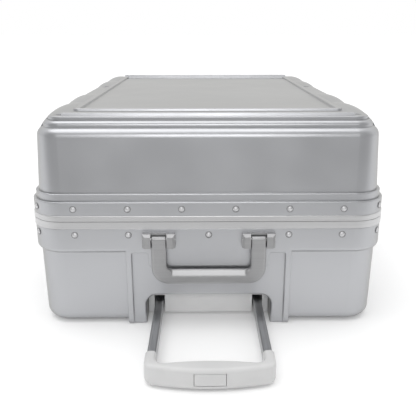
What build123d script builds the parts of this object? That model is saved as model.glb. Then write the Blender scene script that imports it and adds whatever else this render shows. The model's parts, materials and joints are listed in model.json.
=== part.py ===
from build123d import *
import math
import os

# Hard shell suitcase on four casters, lying on its back with the trolley part way out.
# Millimetres, +Z up. X runs across the case and Y from the handle end to the wheel end.
# Pieces are made in case coordinates, with Y = 0 at the handle end of the rim and Z = 0 at the
# floor, and are moved at the end so that the origin lies under the middle of the object.

# Case body
case_width = 470.0
case_length = 700.0
rim_corner = 44.0
least_corner = 3.0
shell_wall = 2.6
parting_height = 149.5
seam_gap = 0.5
seat_gap = 0.15

# Lid profile, from the parting plane up to the panel on top
lid_lip_height = 7.5
lid_band_height = 18.5
lid_riser_height = 10.0
lid_ledge_depth = 3.8
lid_ledge_round = 1.5
lid_wall_rise = 83.0
lid_wall_lean = 4.5
lid_wall_round = 12.0
step_inset = 8.0
step_rise = 8.0
step_round = 6.0
panel_inset = 7.0
panel_rise = 5.0
panel_round = 1.6

# Raised ribs on the lid panel
bar_rib_width = 11.0
bar_rib_height = 4.0
bar_rib_setback = 3.0
bar_rib_end_gap = 19.0
ring_rib_width = 9.0
ring_rib_height = 3.0
ring_rib_side_gap = 23.5
ring_rib_end_gap = 50.5
ring_rib_corner = 8.0
rib_draft = 15.0
rib_round = 1.0
rib_root = 1.0

# Swollen pads along the long edges of the lid
pad_radius = 29.2
pad_swell = 4.2
pad_chord = 120.0
pad_overlap = 2.0
pad_first = 104.0
pad_centre_inset = 39.6
pad_centre_drop = 24.7
pad_tilt = 50.0

# Base profile, from the parting plane down to the back
base_lip_height = 9.5
base_band_height = 34.5
base_band_round = 6.0
base_side_inset = 5.5
base_end_inset = 5.5
base_wall_lean = 1.5
base_edge_round = 14.0
back_height = 1.5

# Raised field on the handle end of the base, and the rails on the back
field_half = 109.75
field_rib_width = 7.5
field_recess = 4.0
field_top_drop = 5.5
field_depth = 30.0
field_foot_round = 8.0
pocket_round = 3.5
arch_edge_round = 2.4
handle_pad_half = 80.0
handle_pad_drop = 25.0
rail_height = 14.0
rail_round = 6.0

# Aluminium frames and the seal between them
frame_proud = 1.0
frame_lip_depth = 6.0
frame_web = 2.0
lid_web_height = 14.0
base_web_height = 20.0
frame_round = 1.2
tongue_inset = 7.0
tongue_width = 2.0
tongue_height = 4.0
seal_inset = 1.3
seal_width = 2.0
seal_depth = 2.0
seal_proud = 0.2
seal_clearance = 0.1

# Rivets
rivet_radius = 3.8
rivet_height = 1.6
rivet_pitch = 70.0
lid_rivet_height = 9.0
base_rivet_drop = 8.6
corner_rivet_angle = 52.0

# Linings
lining_gap = 0.4
lining_thickness = 1.2
lining_edge_gap = 0.4

# Arch in the base for the trolley, its housing and its cover
arch_half = 85.0
arch_height = 43.0
arch_corner = 15.0
arch_end_gap = 45.0
housing_gap = 0.5
housing_wall = 2.5
housing_setback = 31.0
cover_low = 3.0
cover_thickness = 2.5
cover_groove_width = 8.0
cover_groove_depth = 1.0
cover_groove_end = 60.0

# Trolley tubes
tube_centre = 69.0
tube_width = 11.0
tube_height = 16.0
tube_wall = 1.4
tube_round = 2.0
tube_groove_width = 3.6
tube_groove_depth = 0.7
tube_gap = 0.4
outer_tube_wall = 1.5
outer_tube_end_gap = 15.0
inner_tube_length = 548.0
shoe_length = 20.0
shoe_gap = 0.2
plug_depth = 12.0

# Trolley grip, drawn out from the case by grip_reach
grip_reach = 153.0
grip_low = 2.2
grip_high = 29.0
grip_half = 75.7
grip_bow = 11.0
grip_bar_depth = 22.0
grip_rear_bulge = 6.0
grip_length = 40.0
grip_corner = 14.0
grip_inner_corner = 10.0
grip_round = 5.0
sleeve_wall = 1.2
sleeve_gap = 0.5
socket_depth = 19.0
sleeve_room = 8.0
stop_gap = 2.0

# Release button, yoke and rods
button_half = 18.0
button_height = 15.0
button_depth = 6.0
button_gap = 0.4
button_round = 1.2
button_proud = 0.3
button_travel = 3.5
stem_half = 8.0
stem_height = 5.0
yoke_thickness = 2.0
yoke_height = 6.0
yoke_setback = 10.2
yoke_tab_setback = 4.6
yoke_link_inset = 4.5
yoke_link_width = 3.0
yoke_gap = 0.8
rod_radius = 2.0
rod_gap = 0.8

# Carry handles, alike on the end and on the side
leg_centre = 65.0
leg_width = 20.0
handle_thickness = 8.0
handle_drop = 62.0
handle_bar_height = 20.0
handle_corner = 22.0
handle_inner_corner = 5.0
handle_round = 2.2
handle_bevel_height = 9.0
handle_bevel_depth = 4.5
knuckle_radius = 4.4
pin_radius = 2.0
pin_clearance = 0.05
pin_fit = 0.02
pivot_out = 7.6
pivot_drop = 12.0
bracket_half = 21.5
bracket_gap = 0.4
bracket_proud = 12.5
bracket_back = 2.6
bracket_above = 7.5
bracket_below = 11.5
bracket_bar_height = 2.7
bracket_bar_depth = 5.0
bracket_bevel = 3.5

# Latches on the long side away from the hinges
latch_offset = 190.0
latch_half = 46.0
latch_height = 23.0
latch_proud = 10.0
latch_round = 2.5
latch_back = 2.4
lever_start = 6.0
lever_width = 52.0
lever_gap = 0.5
lever_thickness = 5.4
lever_pivot_out = 6.4
lever_pivot_rise = 5.5
lever_knuckle = 3.6
lever_top_gap = 4.0
lever_round = 1.6
nose_height = 4.0
nose_half = 12.0
latch_pin_radius = 1.6
strike_half = 15.0
strike_plate = 1.4
strike_ledge = 2.2
strike_ledge_height = 4.0
strike_low_gap = 1.5
catch_gap = 0.4

# Combination dials and key cylinder
dial_radius = 5.2
dial_width = 5.0
dial_pitch = 9.0
dial_count = 3
dial_teeth = 10
dial_notch = 0.6
dial_gap = 0.4
dial_out = 6.0
spindle_radius = 1.2
cylinder_radius = 5.0
cylinder_proud = 0.8
key_slot_width = 1.2
key_slot_length = 6.0

# Hinges on the other long side
hinge_offset = 190.0
hinge_out = 6.0
hinge_knuckle = 4.0
hinge_pin_radius = 2.0
hinge_segment = 14.0
hinge_segments = 5
hinge_gap = 0.3
hinge_leaf = 3.1
hinge_leaf_height = 17.5
hinge_clearance = 0.9
lip_clearance = 0.2

# Feet on the hinge side
foot_length = 60.0
foot_height = 26.0
foot_corner = 9.0
foot_draft = 14.0
foot_round = 2.0
foot_offset = 190.0
base_foot_height = 66.0
lid_foot_height = 222.0
foot_proud = 12.5

# Casters on the wheel end
caster_inset = 63.0
base_caster_height = 58.0
lid_caster_height = 222.0
caster_block = 72.0
caster_block_corner = 24.0
caster_block_round = 6.0
caster_face_out = 4.0
caster_wrap = 44.0
stem_radius = 5.0
stem_length = 8.5
caster_gap = 0.3
crown_radius = 16.0
crown_thickness = 3.5
wheel_radius = 22.0
wheel_width = 18.0
wheel_gap = 1.2
wheel_round = 3.0
tyre_thickness = 6.0
tyre_groove_width = 2.4
tyre_groove_depth = 1.6
hub_recess = 3.0
hub_rim = 3.0
hub_boss = 6.0
axle_radius = 3.0
axle_head = 4.6
axle_head_height = 1.2
hood_gap = 1.4
hood_wall = 2.6
hood_side_gap = 0.8
hood_open = 2.0
trail = 16.0

# Levels and places that follow from the sizes above
base_lip_low = parting_height - base_lip_height
base_band_low = base_lip_low - base_band_height
lid_low = parting_height + seam_gap
lid_band_low = lid_low + lid_lip_height
lid_band_top = lid_band_low + lid_band_height
lid_wall_low = lid_band_top + lid_riser_height
shoulder_top = lid_wall_low + lid_wall_rise
step_top = shoulder_top + step_rise
panel_top = step_top + panel_rise
wall_top_inset = 2 * lid_ledge_depth + lid_wall_lean
step_total = wall_top_inset + step_inset
panel_total = step_total + panel_inset
arch_far = case_length - arch_end_gap
housing_far = arch_far - housing_gap
cover_top = cover_low + cover_thickness
outer_tube_width = tube_width + 2 * (tube_gap + outer_tube_wall)
outer_tube_height = tube_height + 2 * (tube_gap + outer_tube_wall)
tube_axis = cover_top + outer_tube_height / 2
tube_front = grip_length - socket_depth - grip_reach
tube_rear = tube_front + inner_tube_length
sleeve_end = grip_length - grip_reach
grip_rear = grip_bar_depth + max(grip_inner_corner - grip_rear_bulge, 0.0)
trolley_in = grip_reach + housing_setback - grip_rear - stop_gap
outer_tube_front = sleeve_end + trolley_in + sleeve_room
outer_tube_rear = housing_far - outer_tube_end_gap
button_axis = (grip_low + grip_high) / 2
pivot_height = base_lip_low - pivot_drop
hinge_axis = parting_height + seam_gap / 2
caster_x = case_width / 2 - caster_inset
caster_face = case_length + caster_face_out
axle_y = caster_face + caster_gap + crown_thickness + wheel_gap + wheel_radius
wheel_end = axle_y + wheel_radius
handle_end = -grip_reach - button_proud
middle_y = (wheel_end + handle_end) / 2


def outline(inset, height, end_inset=None):
    """Rounded plan outline of the case, drawn in from the rim, at a height."""
    end = inset if end_inset is None else end_inset
    corner = max(rim_corner - max(inset, end), least_corner)
    flat = RectangleRounded(case_width - 2 * inset, case_length - 2 * end, corner)
    return Pos(0, case_length / 2, height) * flat


def prism(inset, low, high, lean=0.0, end_inset=None):
    """Plan outline pulled up from low to high, leaning in by lean at the top."""
    rise = high - low
    taper = math.degrees(math.atan2(lean, rise))
    return extrude(outline(inset, low, end_inset), amount=rise, taper=taper)


def ring(outer, inner, low, high):
    """Closed band between two plan outlines."""
    return prism(outer, low, high) - prism(inner, low, high)


def round_top(solid, radius):
    """Round the edges of the highest flat face."""
    return fillet(solid.faces().sort_by(Axis.Z)[-1].edges(), radius)


def round_bottom(solid, radius):
    """Round the edges of the lowest flat face."""
    return fillet(solid.faces().sort_by(Axis.Z)[0].edges(), radius)


def bar(x_low, x_high, y_low, y_high, z_low, z_high):
    """Rectangular block between two corners."""
    middle = Pos((x_low + x_high) / 2, (y_low + y_high) / 2, (z_low + z_high) / 2)
    return middle * Box(x_high - x_low, y_high - y_low, z_high - z_low)


def rod_along_x(x_low, x_high, y, z, radius):
    """Cylinder with its axis along X."""
    return Pos((x_low + x_high) / 2, y, z) * Rot(0, 90, 0) * Cylinder(radius, x_high - x_low)


def rod_along_y(x, y_low, y_high, z, radius):
    """Cylinder with its axis along Y."""
    return Pos(x, (y_low + y_high) / 2, z) * Rot(90, 0, 0) * Cylinder(radius, y_high - y_low)


def across(points, x_low, x_high):
    """Prism along X with a profile given by its corners in Y and Z."""
    face = Plane.YZ * make_face(Polyline(points, close=True))
    return Pos(x_low, 0, 0) * extrude(face, amount=x_high - x_low, dir=(1, 0, 0))


def inward(face, y_low, y_high):
    """Prism along Y of a flat shape drawn in X and Z."""
    upright = Plane.XZ * face
    return Pos(0, y_low, 0) * extrude(upright, amount=y_high - y_low, dir=(0, 1, 0))


def both_sides(solid):
    """A piece and its mirror image across the middle of the case."""
    return [solid, mirror(solid, about=Plane.YZ)]


def on_latch_side(piece, along=0.0):
    """Move a piece drawn on the handle end to the long side with the latches."""
    return Pos(case_width / 2, case_length / 2 + along, 0) * Rot(0, 0, 90) * piece


def on_hinge_side(piece, along=0.0):
    """Move a piece drawn on the handle end to the long side with the hinges."""
    return Pos(-case_width / 2, case_length / 2 + along, 0) * Rot(0, 0, -90) * piece


def lid_form(thin):
    """Stepped body of the lid, drawn in everywhere by thin."""
    band = prism(thin, lid_band_low, lid_band_top - thin)
    riser = prism(lid_ledge_depth + thin, lid_band_low, lid_wall_low - thin)
    if lid_ledge_round > thin:
        band = round_top(band, lid_ledge_round - thin)
        riser = round_top(riser, lid_ledge_round - thin)
    wall = prism(2 * lid_ledge_depth + thin, lid_wall_low - thin, shoulder_top - thin, lid_wall_lean)
    wall = round_top(wall, lid_wall_round - thin)
    step = prism(step_total + thin, lid_wall_low, step_top - thin)
    step = round_top(step, step_round - thin)
    panel = prism(panel_total + thin, lid_wall_low, panel_top - thin)
    if panel_round > thin:
        panel = round_top(panel, panel_round - thin)
    return band + riser + wall + step + panel


def lid_ribs():
    """Bar across each end of the panel and the closed rib that frames its middle."""
    bar_length = case_width - 2 * (panel_total + bar_rib_end_gap)
    bar_y = panel_total + bar_rib_setback + bar_rib_width / 2
    low = panel_top - rib_root
    ribs = []
    for y in (bar_y, case_length - bar_y):
        flat = Pos(0, y, low) * Rectangle(bar_length, bar_rib_width)
        ribs.append(round_top(extrude(flat, amount=bar_rib_height + rib_root, taper=rib_draft), rib_round))
    width = case_width - 2 * (panel_total + ring_rib_side_gap)
    length = case_length - 2 * (panel_total + ring_rib_end_gap)
    rise = ring_rib_height + rib_root
    middle = Pos(0, case_length / 2, low)
    flat = middle * RectangleRounded(width, length, ring_rib_corner)
    outer = extrude(flat, amount=rise, taper=rib_draft)
    opening = RectangleRounded(width - 2 * ring_rib_width, length - 2 * ring_rib_width, least_corner)
    inner = extrude(middle * opening, amount=rise, taper=-rib_draft)
    ribs.append(round_top(outer - inner, rib_round))
    return ribs


def lid_pad(y, hollow):
    """Lens shaped swelling that bridges the steps of a long edge, cut back to the inner wall."""
    sweep_radius = (pad_chord ** 2 / 4 + pad_swell ** 2) / (2 * pad_swell)
    half_angle = math.degrees(math.asin((pad_chord / 2 + pad_overlap) / sweep_radius))
    x = case_width / 2 - pad_centre_inset
    z = panel_top - pad_centre_drop
    tilt = math.radians(pad_tilt)
    reach = sweep_radius - pad_radius
    section = Plane(origin=(x, y, z), z_dir=(0, -1, 0)) * Circle(pad_radius)
    hub = (x - reach * math.cos(tilt), y, z - reach * math.sin(tilt))
    axis = Axis(hub, (-math.sin(tilt), 0, math.cos(tilt)))
    return revolve(section, axis=axis, revolution_arc=2 * half_angle).rotate(axis, -half_angle) - hollow


def make_lid_shell():
    """Moulded lid with ribs and pads, open towards the base."""
    hollow = lid_form(shell_wall)
    shell = lid_form(0.0) + lid_ribs() - hollow
    halfway = Plane(origin=(0, case_length / 2, 0), z_dir=(0, 1, 0))
    for y in (pad_first, pad_first + pad_chord):
        pair = both_sides(lid_pad(y, hollow))
        shell += pair + [mirror(pad, about=halfway) for pad in pair]
    return shell


def end_field():
    """Raised field on the handle end: two ribs and the handle pad round a recessed U."""
    top = base_band_low + base_band_round
    outer = across([(0, 0), (field_depth, 0), (field_depth, top), (0, top)], -field_half, field_half)
    foot = outer.edges().filter_by(Axis.X).sort_by(lambda e: e.center().Z + e.center().Y)[0]
    outer = fillet(foot, field_foot_round)
    inner_half = field_half - field_rib_width
    pocket_top = top - field_top_drop
    pad_low = top - handle_pad_drop
    below = -field_depth
    points = [
        (-inner_half, below),
        (-inner_half, pocket_top),
        (-handle_pad_half, pocket_top),
        (-handle_pad_half, pad_low),
        (handle_pad_half, pad_low),
        (handle_pad_half, pocket_top),
        (inner_half, pocket_top),
        (inner_half, below),
    ]
    shape = make_face(Polyline(points, close=True))
    shape = fillet([v for v in shape.vertices() if v.Y > 0], pocket_round)
    raised = outer - inward(shape, -field_depth, field_recess)
    return raised + Pos(0, field_recess, 0) * outer


def arch_shape(grow):
    """Arch of the trolley channel, grown outward, drawn in X and Z with its foot below the floor."""
    half = arch_half + grow
    top = arch_height + grow
    foot = -arch_corner
    flat = Pos(0, (top + foot) / 2) * Rectangle(2 * half, top - foot)
    return fillet([v for v in flat.vertices() if v.Y > 0], arch_corner + grow)


def base_form():
    """Outer body of the base, without the trolley channel."""
    band = round_bottom(prism(0.0, base_band_low, base_lip_low), base_band_round)
    rise = base_band_low + base_band_round - back_height
    flat = outline(base_side_inset + base_wall_lean, back_height, base_end_inset)
    wall = extrude(flat, amount=rise, taper=-math.degrees(math.atan2(base_wall_lean, rise)))
    wall = round_bottom(wall, base_edge_round)
    rail_end = case_length - base_end_inset - base_edge_round
    rail = round_bottom(bar(arch_half, field_half, field_recess, rail_end, 0, rail_height), rail_round)
    return band + wall + end_field() + both_sides(rail)


def base_cavity(thin):
    """Inside of the base, drawn in from the shell's inner face by thin."""
    side = base_side_inset + base_wall_lean + shell_wall + thin
    end = base_end_inset + shell_wall + thin
    low = back_height + shell_wall + thin
    well = round_bottom(prism(side, low, parting_height, end_inset=end), base_edge_round - shell_wall - thin)
    hump = inward(arch_shape(shell_wall + thin), 0, arch_far + shell_wall + thin)
    return well - hump


def make_base_shell(form):
    """Moulded base with the channel for the trolley, open towards the lid."""
    rim_hollow = prism(shell_wall, base_band_low + shell_wall, parting_height)
    channel = inward(arch_shape(0.0), -case_length, arch_far)
    shell = form - base_cavity(0.0) - rim_hollow - channel
    mouth = [e for e in shell.edges() if abs(e.center().Y - field_recess) < 0.01]
    mouth = [e for e in mouth if abs(e.center().X) < arch_half + 0.01 and e.center().Z < arch_height + 0.01]
    return fillet(mouth, arch_edge_round)


def make_lid_frame():
    """Frame of the lid: a lip under the shell and a web behind its band."""
    lip = round_top(prism(-frame_proud, lid_low, lid_band_low), frame_round)
    lip -= prism(frame_lip_depth - frame_proud, lid_low, lid_band_low)
    web_inset = shell_wall + seat_gap
    return lip + ring(web_inset, web_inset + frame_web, lid_low, lid_band_low + lid_web_height)


def make_base_frame():
    """Frame of the base: lip, web behind the band, tongue towards the lid and groove for the seal."""
    inner = tongue_inset + tongue_width
    lip = ring(-frame_proud, inner, base_lip_low, parting_height)
    web_inset = shell_wall + seat_gap
    web = ring(web_inset, web_inset + frame_web, base_lip_low - base_web_height, parting_height)
    tongue = ring(tongue_inset, inner, base_lip_low, parting_height + tongue_height)
    groove = ring(seal_inset - seal_clearance, seal_inset + seal_width + seal_clearance,
                  parting_height - seal_depth, parting_height)
    return lip + web + tongue - groove


def make_frame_seal():
    """Rubber strip lying in the groove of the base frame."""
    return ring(seal_inset, seal_inset + seal_width, parting_height - seal_depth, parting_height + seal_proud)


def rivet():
    """Domed rivet head on a flat back, its axis along -Y."""
    sphere = (rivet_radius ** 2 + rivet_height ** 2) / (2 * rivet_height)
    half = rivet_radius / 2
    crest = sphere - rivet_height - math.sqrt(sphere ** 2 - half ** 2)
    edge = [
        ThreePointArc((0, -rivet_height), (half, crest), (rivet_radius, 0)),
        Line((rivet_radius, 0), (0, 0)),
        Line((0, 0), (0, -rivet_height)),
    ]
    return revolve(make_face(edge), axis=Axis.Y)


def rivet_places(end_places, side_places):
    """Places of rivets round the rim: X along the ends, Y along the sides and one on each corner."""
    half_x = case_width / 2
    half_y = case_length / 2
    middle = Pos(0, half_y, 0)
    places = []
    for x in end_places:
        places.append(middle * Pos(x, -half_y, 0))
        places.append(middle * Rot(0, 0, 180) * Pos(x, -half_y, 0))
    for y in side_places[0]:
        places.append(middle * Rot(0, 0, 90) * Pos(y, -half_x, 0))
    for y in side_places[1]:
        places.append(middle * Rot(0, 0, -90) * Pos(-y, -half_x, 0))
    arc = rim_corner + seat_gap
    for x in (-1, 1):
        for turn, y in ((0, -1), (180, 1)):
            swing = corner_rivet_angle * x * -y
            centre = middle * Pos(x * (half_x - rim_corner), y * (half_y - rim_corner), 0)
            places.append(centre * Rot(0, 0, turn + swing) * Pos(0, -arc, 0))
    return places


def clear_of(places, taken):
    """Places whose distance from every taken stretch is more than a rivet."""
    return [p for p in places if all(abs(p - c) > half + 2 * rivet_radius for c, half in taken)]


def make_rivets(height, end_places, latch_side, hinge_side):
    """Rivets at one height round the rim."""
    one = rivet()
    return [place * Pos(0, 0, height) * one for place in rivet_places(end_places, (latch_side, hinge_side))]


def side_row():
    """Even row of rivet places along a long side, from its middle."""
    reach = case_length / 2 - rim_corner
    count = int(reach // rivet_pitch)
    return [i * rivet_pitch for i in range(-count, count + 1)]


def make_lid_rivets():
    """Rivets through the lid band, clear of strikes and hinge leaves."""
    ends = [s * (i + 0.5) * rivet_pitch for i in range(3) for s in (-1, 1)]
    strike = lever_start - lever_width / 2
    latch_side = clear_of(side_row(), [(s * latch_offset + strike, strike_half) for s in (-1, 1)])
    half = hinge_segment * hinge_segments / 2
    hinge_side = clear_of(side_row(), [(s * hinge_offset, half) for s in (-1, 1)])
    return make_rivets(lid_band_low + lid_rivet_height, ends, latch_side, hinge_side)


def make_base_rivets():
    """Rivets through the base band, clear of brackets, latches and hinge leaves."""
    ends = [0.0] + [s * i * rivet_pitch for i in (1.5, 2.5) for s in (-1, 1)]
    brackets = [(s * leg_centre, bracket_half) for s in (-1, 1)]
    latches = [(s * latch_offset, latch_half) for s in (-1, 1)]
    latch_side = clear_of(side_row(), brackets + latches)
    half = hinge_segment * hinge_segments / 2
    hinge_side = clear_of(side_row(), [(s * hinge_offset, half) for s in (-1, 1)])
    return make_rivets(base_lip_low - base_rivet_drop, ends, latch_side, hinge_side)


def make_base_lining():
    """Fabric lining of the base, up to the underside of the frame."""
    cloth = base_cavity(lining_gap) - base_cavity(lining_gap + lining_thickness)
    top = base_lip_low - lining_edge_gap
    keep = bar(-case_width, case_width, -case_length, 2 * case_length, -case_width, top)
    return cloth & keep


def make_lid_lining():
    """Fabric lining of the lid, from the frame's web up."""
    cloth = lid_form(shell_wall + lining_gap) - lid_form(shell_wall + lining_gap + lining_thickness)
    low = lid_band_low + lid_web_height + lining_edge_gap
    keep = bar(-case_width, case_width, -case_length, 2 * case_length, low, low + case_width)
    return cloth & keep


def sleeve_slot(y_low, y_high, z_low, z_high, gap):
    """Clearance for one sleeve of the trolley grip."""
    half = tube_width / 2 + sleeve_wall + gap
    return bar(tube_centre - half, tube_centre + half, y_low, y_high, z_low, z_high)


def make_trolley_housing():
    """Moulded tray in the arch of the base, with slots where the trolley comes out."""
    outer = inward(arch_shape(-housing_gap), housing_setback, housing_far)
    front = housing_setback + housing_wall
    inner = inward(arch_shape(-housing_gap - housing_wall), front, housing_far - housing_wall)
    above = bar(-case_width, case_width, -case_length, 2 * case_length, cover_top, case_width)
    slot = sleeve_slot(0, front, 0, grip_high + sleeve_gap, sleeve_gap)
    return (outer - inner - both_sides(slot)) & above


def make_trolley_cover():
    """Flat cover on the back that closes the trolley housing, with grooves along it."""
    half = arch_half - housing_gap
    plate = bar(-half, half, housing_setback, housing_far, cover_low, cover_top)
    notch = sleeve_slot(0, outer_tube_front, 0, case_width, sleeve_gap)
    for x in (-2, -1, 1, 2):
        middle = x * half / 3
        groove = bar(middle - cover_groove_width / 2, middle + cover_groove_width / 2,
                     housing_setback + cover_groove_end, housing_far - cover_groove_end,
                     0, cover_low + cover_groove_depth)
        plate -= groove
    return plate - both_sides(notch)


def tube(width, height, wall, corner, y_low, y_high):
    """Rounded rectangular tube along Y at the place of the trolley's tubes."""
    centre = Pos(tube_centre, tube_axis)
    outer = inward(centre * RectangleRounded(width, height, corner), y_low, y_high)
    bore = RectangleRounded(width - 2 * wall, height - 2 * wall, max(corner - wall, least_corner / 10))
    return outer - inward(centre * bore, y_low, y_high)


def make_outer_tubes():
    """Fixed tubes that guide the trolley."""
    corner = tube_round + tube_gap + outer_tube_wall
    return both_sides(tube(outer_tube_width, outer_tube_height, outer_tube_wall, corner,
                           outer_tube_front, outer_tube_rear))


def make_trolley_foot():
    """Block that carries the far ends of the fixed tubes."""
    half = tube_centre + outer_tube_width / 2
    block = bar(-half, half, outer_tube_rear, housing_far - housing_wall, cover_top, cover_top + outer_tube_height)
    gap = tube_centre - outer_tube_width
    hollow = bar(-gap, gap, outer_tube_rear, housing_far - 2 * housing_wall,
                 cover_top + housing_wall, cover_top + outer_tube_height)
    return block - hollow


def make_inner_tubes():
    """Sliding tubes with a shallow groove along the top."""
    one = tube(tube_width, tube_height, tube_wall, tube_round, tube_front, tube_rear)
    top = tube_axis + tube_height / 2
    half = tube_groove_width / 2
    one -= bar(tube_centre - half, tube_centre + half, tube_front, tube_rear, top - tube_groove_depth, top)
    return both_sides(one)


def make_tube_shoes():
    """Plastic shoes at the inner ends of the sliding tubes."""
    centre = Pos(tube_centre, tube_axis)
    slack = tube_gap - shoe_gap
    head = RectangleRounded(tube_width + 2 * slack, tube_height + 2 * slack, tube_round)
    shoe = inward(centre * head, tube_rear, tube_rear + shoe_length)
    inside = tube_wall + tube_groove_depth + shoe_gap
    plug = Rectangle(tube_width - 2 * inside, tube_height - 2 * inside)
    shoe += inward(centre * plug, tube_rear - plug_depth, tube_rear)
    bore = rod_along_y(tube_centre, tube_rear - plug_depth, tube_rear + shoe_length, tube_axis, rod_radius + rod_gap)
    return both_sides(shoe - bore)


def grip_plan():
    """Plan of the trolley grip: a bowed bar between two sleeves."""
    front = -grip_reach
    corner_y = front + grip_bow
    inner = tube_centre - tube_width / 2 - sleeve_wall
    rear_mid = front + grip_bar_depth
    rear_side = rear_mid - grip_rear_bulge
    edge = [
        ThreePointArc((-grip_half, corner_y), (0, front), (grip_half, corner_y)),
        Line((grip_half, corner_y), (grip_half, sleeve_end)),
        Line((grip_half, sleeve_end), (inner, sleeve_end)),
        Line((inner, sleeve_end), (inner, rear_side)),
        ThreePointArc((inner, rear_side), (0, rear_mid), (-inner, rear_side)),
        Line((-inner, rear_side), (-inner, sleeve_end)),
        Line((-inner, sleeve_end), (-grip_half, sleeve_end)),
        Line((-grip_half, sleeve_end), (-grip_half, corner_y)),
    ]
    plan = make_face(edge)
    plan = fillet([v for v in plan.vertices() if v.Y < corner_y + 1], grip_corner)
    return fillet([v for v in plan.vertices() if abs(v.Y - rear_side) < 0.01], grip_inner_corner)


def button_plan(gap, depth):
    """Plan of the release button, its front following the bow of the grip."""
    front = -grip_reach - button_proud
    radius = (grip_half ** 2 + grip_bow ** 2) / (2 * grip_bow)
    half = button_half + gap
    side = front + radius - math.sqrt(radius ** 2 - half ** 2)
    edge = [
        ThreePointArc((-half, side), (0, front), (half, side)),
        Line((half, side), (half, front + depth)),
        Line((half, front + depth), (-half, front + depth)),
        Line((-half, front + depth), (-half, side)),
    ]
    return make_face(edge)


def yoke_front():
    """Y of the face of the yoke that the button's stem meets."""
    return -grip_reach + yoke_setback


def yoke_form(gap, travel):
    """Yoke bar whose ends step back to the rods, grown by a gap and drawn out over a travel."""
    front = yoke_front() - gap
    rear = yoke_front() + yoke_thickness + travel + gap
    low = tube_axis - yoke_height / 2 - gap
    high = tube_axis + yoke_height / 2 + gap
    link = tube_centre - yoke_link_inset + gap
    inner = link - yoke_link_width - 2 * gap
    cross = bar(-link, link, front, rear, low, high)
    links = both_sides(bar(inner, link, front, rear + yoke_tab_setback, low, high))
    tabs = both_sides(bar(inner, tube_centre + gap, front + yoke_tab_setback, rear + yoke_tab_setback, low, high))
    return cross + links + tabs


def make_trolley_grip():
    """Moulded grip with sockets for the tubes, a pocket for the button and a slot for the yoke."""
    body = extrude(Pos(0, 0, grip_low) * grip_plan(), amount=grip_high - grip_low)
    ends = body.edges().filter_by(lambda e: abs(e.center().Z - tube_axis) > (grip_high - grip_low) / 4)
    body = fillet([e for e in ends if e.center().Y < sleeve_end - 0.01], grip_round)
    low = button_axis - button_height / 2 - button_gap
    pocket = extrude(Pos(0, 0, low) * button_plan(button_gap, button_depth + button_travel + button_gap),
                     amount=button_height + 2 * button_gap)
    slot = yoke_form(yoke_gap, button_travel)
    rear = yoke_front() + yoke_thickness + button_travel + yoke_gap
    slot_half = yoke_height / 2 + yoke_gap
    stem_slot = bar(-stem_half - button_gap, stem_half + button_gap, -grip_reach + button_depth / 2, rear,
                    button_axis - stem_height / 2 - button_gap, tube_axis + slot_half)
    socket = Pos(tube_centre, tube_axis) * RectangleRounded(
        tube_width + 2 * pin_clearance, tube_height + 2 * pin_clearance, tube_round)
    sockets = both_sides(inward(socket, tube_front, sleeve_end))
    rod_front = yoke_front() + yoke_tab_setback - yoke_gap
    rods = both_sides(rod_along_y(tube_centre, rod_front, tube_front, tube_axis, rod_radius + rod_gap))
    return body - pocket - slot - stem_slot - sockets - rods


def make_trolley_button():
    """Push button with the stem that presses the yoke."""
    low = button_axis - button_height / 2
    cap = extrude(Pos(0, 0, low) * button_plan(0.0, button_depth), amount=button_height)
    cap = fillet(cap.faces().sort_by(Axis.Y)[0].edges(), button_round)
    stem = bar(-stem_half, stem_half, -grip_reach + button_depth - button_round, yoke_front(),
               button_axis - stem_height / 2, button_axis + stem_height / 2)
    return cap + stem


def make_release_yoke():
    """Cross bar behind the button with a rod down each tube."""
    rods = both_sides(rod_along_y(tube_centre, yoke_front() + yoke_tab_setback, tube_rear, tube_axis, rod_radius))
    return yoke_form(0.0, 0.0) + rods


def make_brackets():
    """Two brackets of a carry handle: cheeks, back plate and a bar over the slot."""
    low = pivot_height - bracket_below
    high = pivot_height + bracket_above
    inner = leg_width / 2 + bracket_gap
    profile = [
        (0, low),
        (-bracket_proud, low),
        (-bracket_proud, high - bracket_bevel),
        (-bracket_proud + bracket_bevel, high),
        (0, high),
    ]
    block = across(profile, leg_centre - bracket_half, leg_centre + bracket_half)
    tall = [e for e in block.edges().filter_by(Axis.Z) if e.center().Y < -bracket_proud / 2]
    block = chamfer(tall, bracket_bevel)
    slot = bar(leg_centre - inner, leg_centre + inner, -case_width, -bracket_back, low, high - bracket_bar_height)
    above = bar(leg_centre - inner, leg_centre + inner, -case_width, -bracket_bar_depth, low, high)
    hole = rod_along_x(leg_centre - bracket_half, leg_centre + bracket_half, -pivot_out, pivot_height,
                       pin_radius + pin_fit)
    return both_sides(block - slot - above - hole)


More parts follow.
